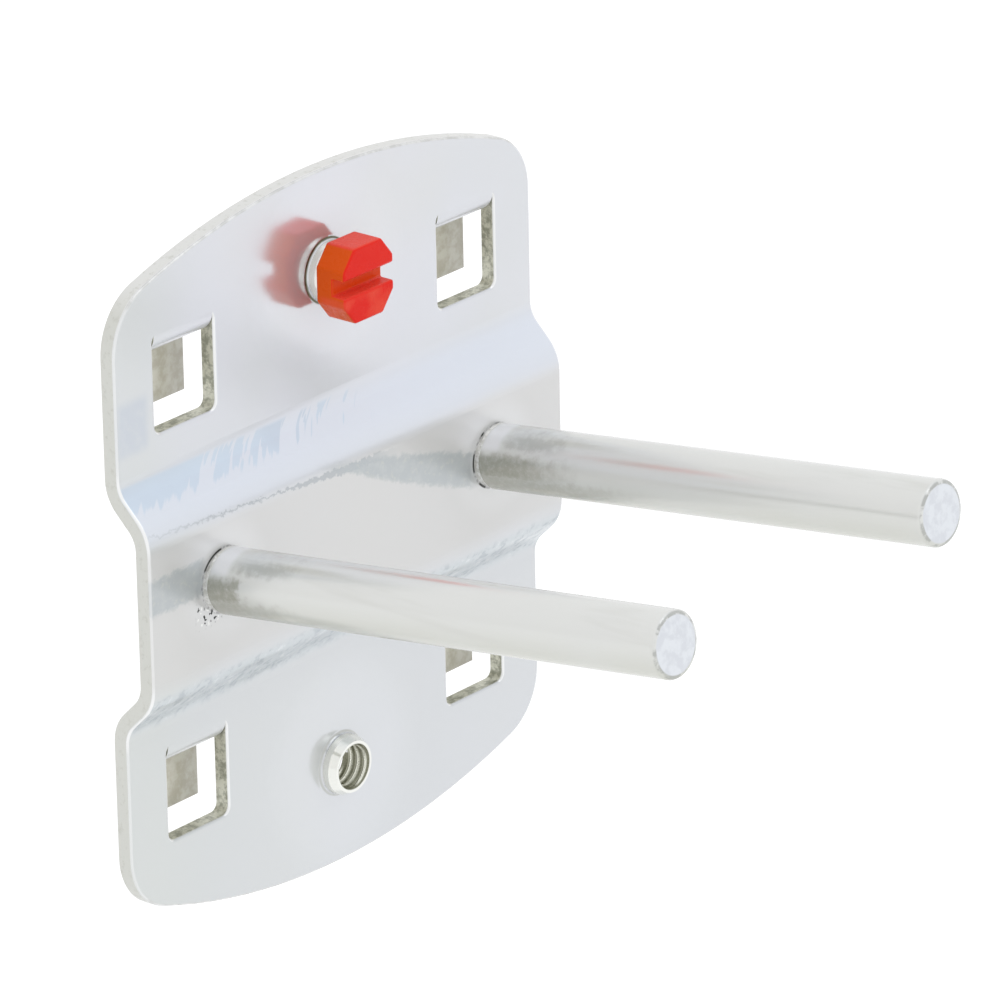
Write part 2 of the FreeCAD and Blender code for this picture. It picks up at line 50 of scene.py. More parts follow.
# Shapes that only the looks have, in millimetres.
HEAD_CHEEK = 1.6
HEAD_ROUNDING = 0.22
SHANK_OVERLAP = 0.1
SHANK_TAPER = 0.4
SHANK_THREAD_DEPTH = 0.3
CREST_RADIUS = 1.86
CREST_HALF = 0.06
RIDGE_HALF = 0.36
RIDGE_SINK = 0.02
RIDGE_START = 0.35
MOUTH_MARGIN = 0.02

# Their counts: plain faces of the head, segments and steps round and along, turns of the ridge.
HEAD_FACES = 17
SHANK_SEGMENTS = 48
SHANK_STEPS = 55
RIDGE_TURNS = 3
RIDGE_STEPS = 64
RIDGE_LEAD_IN = 12

# Paint in millimetres: the upper bend's ends above the middle, and a pin's lower painted shade past its fade.
BEND_LOW = 6.3
BEND_HIGH = 11.4
STRIP_LENGTH = 8.0

# Paint in metres, from the part's middle, as low and high ends or as half sizes.
BAND_HALF = 0.0066
UPPER_BEND = (0.0070, 0.0116)
LOWER_BEND = (-0.0112, -0.0076)
PATCH_X = (-0.0278, -0.0240)
PATCH_Z = (0.0142, 0.0190)
LINE_LEVEL = 0.00596
TAIL_LEVEL = 0.0056
LEFT_TAIL_Z = (0.0005, 0.0038)
WINDOW_SIDE = 0.0240
WINDOW_TOP = 0.0250
WELD_RING = (0.00284, 0.00306)
SPATTER_X = (-0.0221, -0.0190)
SPATTER_Z = (-0.0025, -0.0003)
COLLAR_WALL = (0.00215, 0.00282)
COLLAR_ROOT = (0.00285, 0.00304)
ROOT_DEPTH = (-0.00172, -0.00148)
BUMP_DEPTH = 0.0002

# Dark stretches of the weld line, in degrees round the left (-1) and the right (1) pin.
WELD_STRETCHES = ((-1, ((95, 150),)), (1, ((160, 196), (222, 244), (118, 128))))

# Tones of the zinc on the sheet.
ZINC = {
    "cool": (0.690, 0.702, 0.728),
    "lilac": (0.710, 0.720, 0.765),
    "warm": (0.700, 0.706, 0.690),
    "lower": (0.655, 0.672, 0.688),
    "lower_left": (0.640, 0.662, 0.650),
    "left": (0.668, 0.690, 0.672),
    "band": (0.672, 0.665, 0.652),
    # Painted light round the pins' feet.
    "pale": (0.80, 0.805, 0.81),
    "bend": (0.725, 0.760, 0.830),
    "streak": (0.595, 0.685, 0.785),
    "streak_deep": (0.560, 0.630, 0.725),
    "patch": (0.590, 0.625, 0.680),
    "line": (0.43, 0.46, 0.48),
    # Painted reflection of the pins' dark sides beside their feet, and its specks.
    "painted_pin_reflection": (0.475, 0.510, 0.525),
    "painted_pin_reflection_speck": (0.57, 0.58, 0.55),
    "low_bend": (0.600, 0.645, 0.670),
    "low_bend_speck": (0.42, 0.46, 0.49),
    "low_bend_painted_glint": (0.80, 0.82, 0.84),
    "cut_edge": (0.640, 0.645, 0.605),
    "dome_cut": (0.720, 0.720, 0.700),
    "cut_speck": (0.50, 0.50, 0.45),
    "wall_shade_dark": (0.33, 0.335, 0.265),
    "wall_shade_light": (0.66, 0.66, 0.56),
    "hook_shade_dark": (0.54, 0.515, 0.43),
    "hook_shade_light": (0.66, 0.64, 0.56),
    "painted_edge_highlight": (0.90, 0.905, 0.90),
    "rim_dark": (0.60, 0.60, 0.585),
    "rim_light": (0.76, 0.76, 0.75),
    "bore": (0.36, 0.36, 0.28),
    "weld_line": (0.05, 0.05, 0.045),
    "spatter_dark": (0.03, 0.03, 0.03),
    "spatter_light": (0.95, 0.95, 0.93),
    "collar": (0.90, 0.90, 0.84),
    "root_upper_shade": (0.12, 0.12, 0.07),
    "root_lower": (0.52, 0.53, 0.51),
}

# Tones of the zinc on the pins.
PIN = {
    "low": (0.610, 0.615, 0.560),
    "high": (0.735, 0.740, 0.722),
    "cloud": (0.715, 0.722, 0.715),
    "drawn": (0.62, 0.62, 0.59),
    # Painted reflection and shade near the pins' feet and along their lower sides.
    "painted_dark_reflection": (0.370, 0.370, 0.310),
    "shade": (0.44, 0.45, 0.41),
    # Painted highlight on top near the foot.
    "painted_top_highlight": (0.86, 0.87, 0.90),
    "neck_dark": (0.62, 0.62, 0.58),
    "neck_light": (0.84, 0.84, 0.82),
    "end_dark": (0.66, 0.68, 0.72),
    "end_light": (0.73, 0.755, 0.79),
    "rim": (0.36, 0.37, 0.35),
}

# Tones of the thread in the lower collar: a painted highlight on the crests, painted shade in the roots.
CREST_HIGHLIGHT = (0.93, 0.93, 0.83)
ROOT_SHADE = (0.20, 0.20, 0.14)

# Tones of the plastic.
RED = {
    "deep": (0.73, 0.009, 0.005),
    "light": (0.79, 0.030, 0.016),
    "side": (0.70, 0.098, 0.002),
    "top": (0.82, 0.11, 0.07),
    "below": (0.82, 0.095, 0.050),
    "rear": (0.95, 0.11, 0.045),
}

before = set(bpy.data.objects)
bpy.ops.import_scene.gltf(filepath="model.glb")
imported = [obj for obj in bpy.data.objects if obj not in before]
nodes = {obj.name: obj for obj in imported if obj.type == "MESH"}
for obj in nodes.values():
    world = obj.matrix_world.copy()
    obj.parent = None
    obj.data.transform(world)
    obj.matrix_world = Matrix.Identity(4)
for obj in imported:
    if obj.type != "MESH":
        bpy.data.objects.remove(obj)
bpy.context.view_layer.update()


# Node helpers
def new_material(name):
    material = bpy.data.materials.new(name)
    material.use_nodes = True
    tree = material.node_tree
    tree.nodes.clear()
    output = tree.nodes.new("ShaderNodeOutputMaterial")
    shader = tree.nodes.new("ShaderNodeBsdfPrincipled")
    tree.links.new(shader.outputs["BSDF"], output.inputs["Surface"])
    return material, tree, shader


def node(tree, kind, links=None, **values):
    """Add a node; values set its properties, links feed its inputs by name or index."""
    item = tree.nodes.new(kind)
    for name, value in values.items():
        setattr(item, name, value)
    for socket, source in (links or {}).items():
        if isinstance(source, bpy.types.NodeSocket):
            tree.links.new(source, item.inputs[socket])
        else:
            item.inputs[socket].default_value = source
    return item


def maths(tree, operation, first, second=0.0, third=0.0):
    return node(tree, "ShaderNodeMath", {0: first, 1: second, 2: third}, operation=operation).outputs[0]


def ramp(tree, value, low, high, out_low=0.0, out_high=1.0):
    """Smooth step of a value from low to high."""
    item = node(tree, "ShaderNodeMapRange", {"Value": value}, interpolation_type="SMOOTHSTEP")
    item.inputs["From Min"].default_value = low
    item.inputs["From Max"].default_value = high
    item.inputs["To Min"].default_value = out_low
    item.inputs["To Max"].default_value = out_high
    return item.outputs["Result"]


def mix(tree, factor, first, second):
    item = node(tree, "ShaderNodeMix", data_type="RGBA")
    for socket, source in ((0, factor), (6, first), (7, second)):
        if isinstance(source, bpy.types.NodeSocket):
            tree.links.new(source, item.inputs[socket])
        elif socket == 0:
            item.inputs[0].default_value = source
        else:
            item.inputs[socket].default_value = (*source, 1.0)
    return item.outputs[2]


def noise(tree, vector, scale, detail=2.0, roughness=0.5, stretch=None):
    """Noise in the object's own coordinates, in metres; stretch scales the axes."""
    if stretch:
        vector = node(tree, "ShaderNodeMapping", {"Vector": vector, "Scale": stretch}).outputs[0]
    links = {"Vector": vector, "Scale": scale, "Detail": detail, "Roughness": roughness}
    return node(tree, "ShaderNodeTexNoise", links).outputs["Fac"]


def spot(tree, direction, towards, inner, outer):
    """1 near a direction, falling to 0; inner and outer are angles in degrees."""
    aim = Vector(towards).normalized()
    dot = node(tree, "ShaderNodeVectorMath", {0: direction, 1: aim}, operation="DOT_PRODUCT")
    return ramp(tree, dot.outputs["Value"], math.cos(math.radians(outer)), math.cos(math.radians(inner)))


def band(tree, value, low, high, soft):
    """1 between low and high, with soft ends."""
    rise = ramp(tree, value, low - soft, low + soft)
    fall = ramp(tree, value, high + soft, high - soft)
    return maths(tree, "MULTIPLY", rise, fall)


def times(tree, *factors):
    product = factors[0]
    for factor in factors[1:]:
        product = maths(tree, "MULTIPLY", product, factor)
    return product


def reach_from(tree, first, second, at_first, at_second):
    """Distance in the plane of two coordinates from a point, in metres."""
    legs = [maths(tree, "POWER", maths(tree, "ABSOLUTE", maths(tree, "SUBTRACT", value, at)), 2.0)
            for value, at in ((first, at_first), (second, at_second))]
    return maths(tree, "SQRT", maths(tree, "ADD", *legs))


def finish_zinc(tree, shader, colour, rough, metallic, bump_height, bump_strength):
    links = {"Height": bump_height, "Strength": bump_strength, "Distance": BUMP_DEPTH}
    bump = node(tree, "ShaderNodeBump", links)
    tree.links.new(colour, shader.inputs["Base Color"])
    tree.links.new(rough, shader.inputs["Roughness"])
    tree.links.new(bump.outputs["Normal"], shader.inputs["Normal"])
    if isinstance(metallic, bpy.types.NodeSocket):
        tree.links.new(metallic, shader.inputs["Metallic"])
    else:
        shader.inputs["Metallic"].default_value = metallic


def sheet_places(tree):
    """Coordinates, masks and noises that all the paint on the sheet shares."""
    place = node(tree, "ShaderNodeTexCoord").outputs["Object"]
    x, y, z = node(tree, "ShaderNodeSeparateXYZ", {0: place}).outputs
    geometry = node(tree, "ShaderNodeNewGeometry")
    normal = node(tree, "ShaderNodeSeparateXYZ", {0: geometry.outputs["Normal"]}).outputs
    return SimpleNamespace(
        place=place,
        x=x,
        y=y,
        z=z,
        height=maths(tree, "ABSOLUTE", z),
        side=maths(tree, "ABSOLUTE", normal[0]),
        face=maths(tree, "ABSOLUTE", normal[1]),
        normal_y=normal[1],
        front=ramp(tree, normal[1], -0.1, -0.3),
        on_band=band(tree, z, -BAND_HALF, BAND_HALF, 0.0012),
        cloud=noise(tree, place, 60.0, 3.0),
        warm=noise(tree, place, 38.0, 2.0, stretch=(1.0, 1.0, 0.6)),
        fine=noise(tree, place, 900.0, 3.0, 0.6),
        grain=noise(tree, place, 1500.0, 3.0, 0.7),
        drawn=noise(tree, place, 260.0, 3.0, 0.6, stretch=(1.0, 1.0, 0.06)),
    )


def paint_faces(tree, at):
    """Faces: cool grey, lilac in clouds, greener toward the lower left, warmer on the band, with painted
    light round the pins' feet.
    """
    colour = mix(tree, ramp(tree, at.cloud, 0.35, 0.65), ZINC["cool"], ZINC["lilac"])
    colour = mix(tree, ramp(tree, at.warm, 0.45, 0.75, 0.0, 0.8), colour, ZINC["warm"])
    lower = ramp(tree, at.z, 0.004, -0.012)
    colour = mix(tree, maths(tree, "MULTIPLY", lower, 0.7), colour, ZINC["lower"])
    low_left = times(tree, ramp(tree, at.x, 0.002, -0.026), ramp(tree, at.z, 0.010, -0.030))
    colour = mix(tree, maths(tree, "MULTIPLY", low_left, 0.6), colour, ZINC["lower_left"])
    colour = mix(tree, ramp(tree, at.x, -0.018, -0.026, 0.0, 0.6), colour, ZINC["left"])
    colour = mix(tree, maths(tree, "MULTIPLY", at.on_band, 0.8), colour, ZINC["band"])
    # Painted light: a paler halo round each pin's foot, against the shade of the pin's reflection in the
    # band.
    for across in (-1, 1):
        foot = reach_from(tree, at.x, at.z, across * PIN_SIDE * MM, PIN_HEIGHT * MM)
        pale = times(tree, ramp(tree, foot, 0.0065, 0.0032, 0.0, 0.6), at.front)
        colour = mix(tree, pale, colour, ZINC["pale"])
    return colour


def paint_upper_bend(tree, at, colour):
    """Upper bend: painted pale lilac as the brighter reflection that the bend shows, with blue streaks that
    hang from its upper edge and thin out to the right.
    """
    # Painted reflection: the bend lighter and bluer than the faces.
    on_bend = band(tree, at.z, *UPPER_BEND, 0.0008)
    colour = mix(tree, maths(tree, "MULTIPLY", on_bend, 0.8), colour, ZINC["bend"])
    lean = maths(tree, "MULTIPLY_ADD", at.z, -1.3, at.x)
    slanted = node(tree, "ShaderNodeCombineXYZ", {0: lean, 2: at.z}).outputs[0]
    teeth = noise(tree, slanted, 1000.0, 2.0, 0.7, stretch=(1.0, 1.0, 0.22))
    wide = noise(tree, slanted, 330.0, 1.0, 0.5, stretch=(1.0, 1.0, 0.25))
    teeth = maths(tree, "MULTIPLY_ADD", wide, 0.6, teeth)
    below_edge = maths(tree, "SUBTRACT", BEND_HIGH * MM, at.z)
    down = maths(tree, "DIVIDE", below_edge, (BEND_HIGH - BEND_LOW) * MM)
    solid_left = ramp(tree, at.x, -0.0225, -0.0185, 0.48, 0.75)
    sparse_right = ramp(tree, at.x, -0.014, 0.008, 0.0, 0.11)
    limit = maths(tree, "ADD", solid_left, sparse_right)
    limit = maths(tree, "ADD", limit, ramp(tree, down, 0.10, 0.60, 0.0, 0.16))
    streak = ramp(tree, maths(tree, "SUBTRACT", teeth, limit), -0.012, 0.012)
    tooth_end = maths(tree, "MULTIPLY_ADD", teeth, -0.5, down)
    hang = times(tree, ramp(tree, down, -0.06, 0.02), ramp(tree, tooth_end, -0.02, -0.10))
    streaks = times(tree, hang, ramp(tree, at.x, 0.004, 0.001), streak, at.front)
    tone = mix(tree, ramp(tree, at.cloud, 0.4, 0.6), ZINC["streak"], ZINC["streak_deep"])
    colour = mix(tree, maths(tree, "MULTIPLY", streaks, 0.85), colour, tone)
    patch = times(tree, at.front, band(tree, at.x, *PATCH_X, 0.0006), band(tree, at.z, *PATCH_Z, 0.0006))
    patch = maths(tree, "MULTIPLY", patch, ramp(tree, at.fine, 0.3, 0.6, 0.6, 0.9))
    return mix(tree, patch, colour, ZINC["patch"])


def paint_band_reflections(tree, at, colour):
    """Painted reflections on the band: a thin dotted dark line where the band begins, widening to a bluish
    patch beside the right foot; that patch and one left of the left foot stand for the pins' dark sides
    mirrored in the band.
    """
    # Painted reflection: a dark dotted line along the crease where the band begins.
    ragged = maths(tree, "MULTIPLY", maths(tree, "SUBTRACT", at.grain, 0.5), 0.0014)
    line_z = maths(tree, "ADD", at.z, ragged)
    level = maths(tree, "MULTIPLY_ADD", at.x, 0.06, line_z)
    off_line = maths(tree, "ABSOLUTE", maths(tree, "SUBTRACT", level, LINE_LEVEL))
    thick = ramp(tree, at.x, -0.012, 0.000, 0.00006, 0.00035)
    line = ramp(tree, maths(tree, "SUBTRACT", off_line, thick), 0.00012, -0.00004)
    fade_right = ramp(tree, at.x, 0.006, 0.000)
    fade_left = ramp(tree, at.x, -0.028, -0.014, 0.35, 1.0)
    line = times(tree, line, at.front, fade_right, fade_left)
    colour = mix(tree, maths(tree, "MULTIPLY", line, 0.75), colour, ZINC["line"])
    # Painted reflection of the pins' dark sides, beside the right foot and left of the left foot.
    lean = maths(tree, "MULTIPLY_ADD", at.x, 0.33, line_z)
    half = ramp(tree, at.x, -0.008, 0.012, 0.0002, 0.0016)
    beside = maths(tree, "ABSOLUTE", maths(tree, "SUBTRACT", lean, TAIL_LEVEL))
    tail = ramp(tree, maths(tree, "SUBTRACT", beside, half), 0.0003, -0.0003)
    tail = times(tree, tail, band(tree, at.x, -0.006, 0.0155, 0.0010), at.on_band)
    left_of_foot = ramp(tree, at.x, -0.0205, -0.0215)
    left_tail = times(tree, band(tree, line_z, *LEFT_TAIL_Z, 0.0003), left_of_foot, at.on_band)
    dense = ramp(tree, at.fine, 0.25, 0.6, 0.75, 1.0)
    painted_pin_reflection = times(tree, maths(tree, "ADD", left_tail, tail), at.front, dense)
    tone = mix(tree, ramp(tree, at.grain, 0.55, 0.68, 0.0, 0.7), ZINC["painted_pin_reflection"], ZINC["painted_pin_reflection_speck"])
    return mix(tree, maths(tree, "MULTIPLY", painted_pin_reflection, 0.85), colour, tone)


def paint_lower_bend(tree, at, colour):
    """Lower bend: mottled blue-grey, painted as the dark reflection that the bend shows, with painted glints.
    """
    on_bend = times(tree, band(tree, at.z, *LOWER_BEND, 0.0006), at.front)
    coarse = maths(tree, "MULTIPLY", at.fine, 0.6)
    mottle = maths(tree, "ADD", coarse, maths(tree, "MULTIPLY", at.grain, 0.4))
    colour = mix(tree, maths(tree, "MULTIPLY", on_bend, 0.85), colour, ZINC["low_bend"])
    specks = times(tree, on_bend, ramp(tree, mottle, 0.50, 0.60))
    colour = mix(tree, maths(tree, "MULTIPLY", specks, 0.7), colour, ZINC["low_bend_speck"])
    # Painted highlight: light glints in the mottle.
    painted_glints = times(tree, on_bend, ramp(tree, mottle, 0.44, 0.38))
    return mix(tree, maths(tree, "MULTIPLY", painted_glints, 0.6), colour, ZINC["low_bend_painted_glint"])


def paint_edges(tree, at, edge, colour):
    """Cut edges: grey-olive, lighter on the domes, darker in the windows as painted shade, bright where
    rounded as a painted highlight; hooks darkened as painted shade.
    """
    tone = mix(tree, ramp(tree, at.height, 0.0265, 0.0290), ZINC["cut_edge"], ZINC["dome_cut"])
    tone = mix(tree, ramp(tree, at.grain, 0.52, 0.70, 0.0, 0.5), tone, ZINC["cut_speck"])
    colour = mix(tree, edge, colour, tone)
    # Painted shade: the walls inside the windows darker than the outer cut edges.
    inside_x = band(tree, at.x, -WINDOW_SIDE, WINDOW_SIDE, 0.0008)
    inside = times(tree, inside_x, band(tree, at.z, -WINDOW_TOP, WINDOW_TOP, 0.0008))
    not_collar = ramp(tree, maths(tree, "ABSOLUTE", at.x), 0.006, 0.008)
    wall = times(tree, edge, inside, not_collar, ramp(tree, at.height, 0.0125, 0.0135))
    tone = mix(tree, ramp(tree, at.grain, 0.35, 0.60), ZINC["wall_shade_dark"], ZINC["wall_shade_light"])
    colour = mix(tree, wall, colour, tone)
    # Painted shade: the hooks' lips behind the plate darker, most on their front faces.
    hooks = times(tree, inside, ramp(tree, at.y, 0.0004, 0.0012))
    hooks = maths(tree, "MULTIPLY", hooks, ramp(tree, at.normal_y, 0.2, -0.2, 0.25, 1.0))
    tone = mix(tree, ramp(tree, at.fine, 0.35, 0.65), ZINC["hook_shade_dark"], ZINC["hook_shade_light"])
    colour = mix(tree, hooks, colour, tone)
    # Painted highlight: rounded edges bright, brightest in the windows and at the bends.
    rounded = band(tree, at.face, 0.35, 0.93, 0.05)
    upright = times(tree, rounded, ramp(tree, at.side, 0.12, 0.30), not_collar)
    at_bend = maths(tree, "MAXIMUM", inside, band(tree, at.height, 0.0065, 0.0125, 0.0015))
    bright = maths(tree, "MULTIPLY", upright, ramp(tree, at_bend, 0.0, 1.0, 0.45, 1.0))
    colour = mix(tree, bright, colour, ZINC["painted_edge_highlight"])
    dome_rim = times(tree, rounded, ramp(tree, at.height, 0.0265, 0.0280))
    tone = mix(tree, ramp(tree, at.fine, 0.35, 0.65), ZINC["rim_dark"], ZINC["rim_light"])
    return mix(tree, dome_rim, colour, tone)


def paint_bores(tree, at, colour):
    """Bores: olive between the threads, darkened as painted shade in the holes."""
    bores = [ramp(tree, reach_from(tree, at.x, at.z, 0.0, rise * MM), 0.00216, 0.00211)
             for rise in (COLLAR_RISE, -COLLAR_RISE)]
    return mix(tree, maths(tree, "ADD", *bores), colour, ZINC["bore"])


def paint_welds(tree, at, colour):
    """Weld line round the pins' feet, dark on some stretches only, and spatter at the left one."""
    for across, stretches in WELD_STRETCHES:
        legs = [maths(tree, "SUBTRACT", value, start * MM)
                for value, start in ((at.z, PIN_HEIGHT), (at.x, across * PIN_SIDE))]
        angle = maths(tree, "ADD", maths(tree, "ARCTAN2", *legs), 2 * math.pi)
        angle = maths(tree, "MODULO", angle, 2 * math.pi)
        reach = reach_from(tree, at.x, at.z, across * PIN_SIDE * MM, PIN_HEIGHT * MM)
        dark = ramp(tree, at.grain, 0.45, 0.55, 0.0, 0.4)
        for first, last in stretches:
            stretch = band(tree, angle, math.radians(first), math.radians(last), 0.06)
            dark = maths(tree, "MAXIMUM", dark, stretch)
        seam = times(tree, band(tree, reach, *WELD_RING, 0.00006), dark, at.on_band, at.front)
        colour = mix(tree, seam, colour, ZINC["weld_line"])
    splash = times(tree, at.front, band(tree, at.x, *SPATTER_X, 0.0003), band(tree, at.z, *SPATTER_Z, 0.0004))
    dots = noise(tree, at.place, 2300.0, 1.0)
    colour = mix(tree, times(tree, splash, ramp(tree, dots, 0.60, 0.64)), colour, ZINC["spatter_dark"])
    return mix(tree, times(tree, splash, ramp(tree, dots, 0.36, 0.33)), colour, ZINC["spatter_light"])


def paint_collars(tree, at, ring, colour):
    """Collars: pale in front as a painted highlight, with a thin line at the root, dark as painted shade on
    the upper one only.
    """
    # Painted highlight: the collars' fronts pale.
    in_front = ramp(tree, at.y, -0.00175, -0.00195)
    collar = times(tree, band(tree, ring, *COLLAR_WALL, 0.00004), in_front)
    colour = mix(tree, maths(tree, "MULTIPLY", collar, 0.8), colour, ZINC["collar"])
    # Painted shade: the root line dark on the upper collar only.
    at_root = band(tree, at.y, *ROOT_DEPTH, 0.00004)
    root = times(tree, band(tree, ring, *COLLAR_ROOT, 0.00006), at_root)
    tone = mix(tree, ramp(tree, at.z, -0.001, 0.001), ZINC["root_lower"], ZINC["root_upper_shade"])
    return mix(tree, root, colour, tone)


def plate_material():
    """Zinc on the sheet: cloudy faces, olive cut edges, bright rims as painted highlights, streaks at the
    bends, and painted reflections, shade and light at the bends and feet.
    """
    material, tree, shader = new_material("zinc_sheet_looks")
    at = sheet_places(tree)
    edge = ramp(tree, at.face, 0.40, 0.20)
    ring = reach_from(tree, at.x, at.height, 0.0, COLLAR_RISE * MM)
    colour = paint_faces(tree, at)
    colour = paint_upper_bend(tree, at, colour)
    colour = paint_band_reflections(tree, at, colour)
    colour = paint_lower_bend(tree, at, colour)
    colour = paint_edges(tree, at, edge, colour)
    colour = paint_bores(tree, at, colour)
    colour = paint_welds(tree, at, colour)
    colour = paint_collars(tree, at, ring, colour)

    # Mirror-like round the collars, where the drawing die pressed it; softer elsewhere
    near = ramp(tree, ring, 0.0130, 0.0050)
    cloudy = ramp(tree, at.cloud, 0.3, 0.7, 0.0, 0.03)
    rough = maths(tree, "ADD", cloudy, ramp(tree, near, 0.0, 1.0, 0.235, 0.13))
    rough = maths(tree, "MULTIPLY_ADD", edge, 0.15, rough)
    metallic = maths(tree, "MULTIPLY_ADD", at.on_band, -0.08, ramp(tree, near, 0.0, 1.0, 0.36, 0.66))
    relief = maths(tree, "MULTIPLY_ADD", at.drawn, 0.5, at.fine)
    finish_zinc(tree, shader, colour, rough, metallic, relief, 0.03)
    return material


def pin_material(name, across, solid, fade):
    """Zinc on a round pin: grey, in painted shade on its lower side, painted dark near the foot as reflection
    and shade, with a painted highlight on top near the foot, rim and end brighter.
    """
    material, tree, shader = new_material(name)
    place = node(tree, "ShaderNodeTexCoord").outputs["Object"]
    x, y, z = node(tree, "ShaderNodeSeparateXYZ", {0: place}).outputs
    rise = math.tan(math.radians(PIN_TILT))
    along = maths(tree, "MULTIPLY_ADD", y, -1.0, -BAND_FRONT * MM)
    axis_z = maths(tree, "MULTIPLY_ADD", along, rise, PIN_HEIGHT * MM)
    height = maths(tree, "DIVIDE", maths(tree, "SUBTRACT", z, axis_z), PIN_RADIUS * MM)
    out = maths(tree, "DIVIDE", maths(tree, "SUBTRACT", x, across * PIN_SIDE * MM), PIN_RADIUS * MM)
    cloud = noise(tree, place, 90.0, 3.0)
    fine = noise(tree, place, 900.0, 3.0, 0.6)
    grain = noise(tree, place, 2200.0, 3.0, 0.7)
    drawn = noise(tree, place, 500.0, 3.0, 0.6, stretch=(1.0, 0.05, 1.0))
    # Painted shade: darker on the lower side of the pin, lighter on top.
    colour = mix(tree, ramp(tree, height, -1.0, 0.6), PIN["low"], PIN["high"])
    colour = mix(tree, ramp(tree, cloud, 0.35, 0.7, 0.0, 0.3), colour, PIN["cloud"])
    colour = mix(tree, ramp(tree, drawn, 0.55, 0.75, 0.0, 0.4), colour, PIN["drawn"])

    # Painted reflection and shade: a dark block at the foot, a long tail along the lower side and a grey
    # streak on top; a painted highlight on top near the foot
    unsteady = maths(tree, "SUBTRACT", fine, 0.5)
    wobble = maths(tree, "MULTIPLY_ADD", unsteady, 0.005, along)
    level = maths(tree, "MULTIPLY_ADD", unsteady, 0.5, height)
    near_foot = ramp(tree, wobble, fade * MM, solid * MM)
    block = times(tree, near_foot, band(tree, level, -0.35, 0.38, 0.16))
    low = band(tree, level, -0.97, -0.25, 0.15)
    strip = times(tree, ramp(tree, wobble, (STRIP_LENGTH + fade) * MM, 0.5 * fade * MM, 0.0, 0.70), low)
    painted_dark_reflection = maths(tree, "MAXIMUM", block, strip)
    painted_dark_reflection = maths(tree, "MULTIPLY", painted_dark_reflection, ramp(tree, grain, 0.25, 0.6, 0.70, 1.0))
    colour = mix(tree, maths(tree, "MULTIPLY", painted_dark_reflection, 0.92), colour, PIN["painted_dark_reflection"])
    top = band(tree, level, 0.60, 0.95, 0.14)
    shade = times(tree, band(tree, wobble, 3.2 * MM, 9.0 * MM, 2.2 * MM), top)
    shade = times(tree, shade, ramp(tree, drawn, 0.35, 0.60, 0.25, 0.75))
    colour = mix(tree, shade, colour, PIN["shade"])
    # Painted highlight: a bright patch on top, near the foot.
    painted_top_highlight = times(tree, band(tree, along, 0.7 * MM, 2.6 * MM, 0.4 * MM), ramp(tree, height, 0.40, 0.60))
    colour = mix(tree, maths(tree, "MULTIPLY", painted_top_highlight, 0.8), colour, PIN["painted_top_highlight"])

    # Slim neck at the foot, and the free end with its rim
    neck = ramp(tree, along, 0.66 * MM, 0.60 * MM)
    neck_tone = mix(tree, ramp(tree, grain, 0.4, 0.6), PIN["neck_dark"], PIN["neck_light"])
    colour = mix(tree, neck, colour, neck_tone)
    tip = ramp(tree, along, 48.9 * MM, 49.3 * MM)
    reach = reach_from(tree, height, out, 0.0, 0.0)
    flat = ramp(tree, reach, 0.90, 0.84)
    blotch = mix(tree, ramp(tree, fine, 0.40, 0.60), PIN["end_dark"], PIN["end_light"])
    colour = mix(tree, times(tree, tip, flat), colour, blotch)
    rim = times(tree, tip, band(tree, reach, 0.86, 0.97, 0.02))
    rim = maths(tree, "MULTIPLY", rim, ramp(tree, fine, 0.42, 0.55))
    colour = mix(tree, maths(tree, "MULTIPLY", rim, 0.7), colour, PIN["rim"])

    rough = ramp(tree, cloud, 0.3, 0.7, 0.20, 0.26)
    metallic = ramp(tree, neck, 0.0, 1.0, 0.42, 0.10)
    relief = maths(tree, "MULTIPLY_ADD", drawn, 0.5, fine)
    finish_zinc(tree, shader, colour, rough, metallic, relief, 0.04)
    return material


def thread_material():
    """Zinc on the thread's crests, near white as a painted highlight, and dark in its roots as painted shade.
    """
    material, tree, shader = new_material("thread_looks")
    place = node(tree, "ShaderNodeTexCoord").outputs["Object"]
    x, y, z = node(tree, "ShaderNodeSeparateXYZ", {0: place}).outputs
    reach = reach_from(tree, x, z, 0.0, -COLLAR_RISE * MM)
    colour = mix(tree, ramp(tree, reach, 0.00188, 0.00200), CREST_HIGHLIGHT, ROOT_SHADE)
    grain = noise(tree, place, 2500.0, 2.0)
    finish_zinc(tree, shader, colour, ramp(tree, grain, 0.3, 0.7, 0.22, 0.32), 0.5, grain, 0.05)
    return material


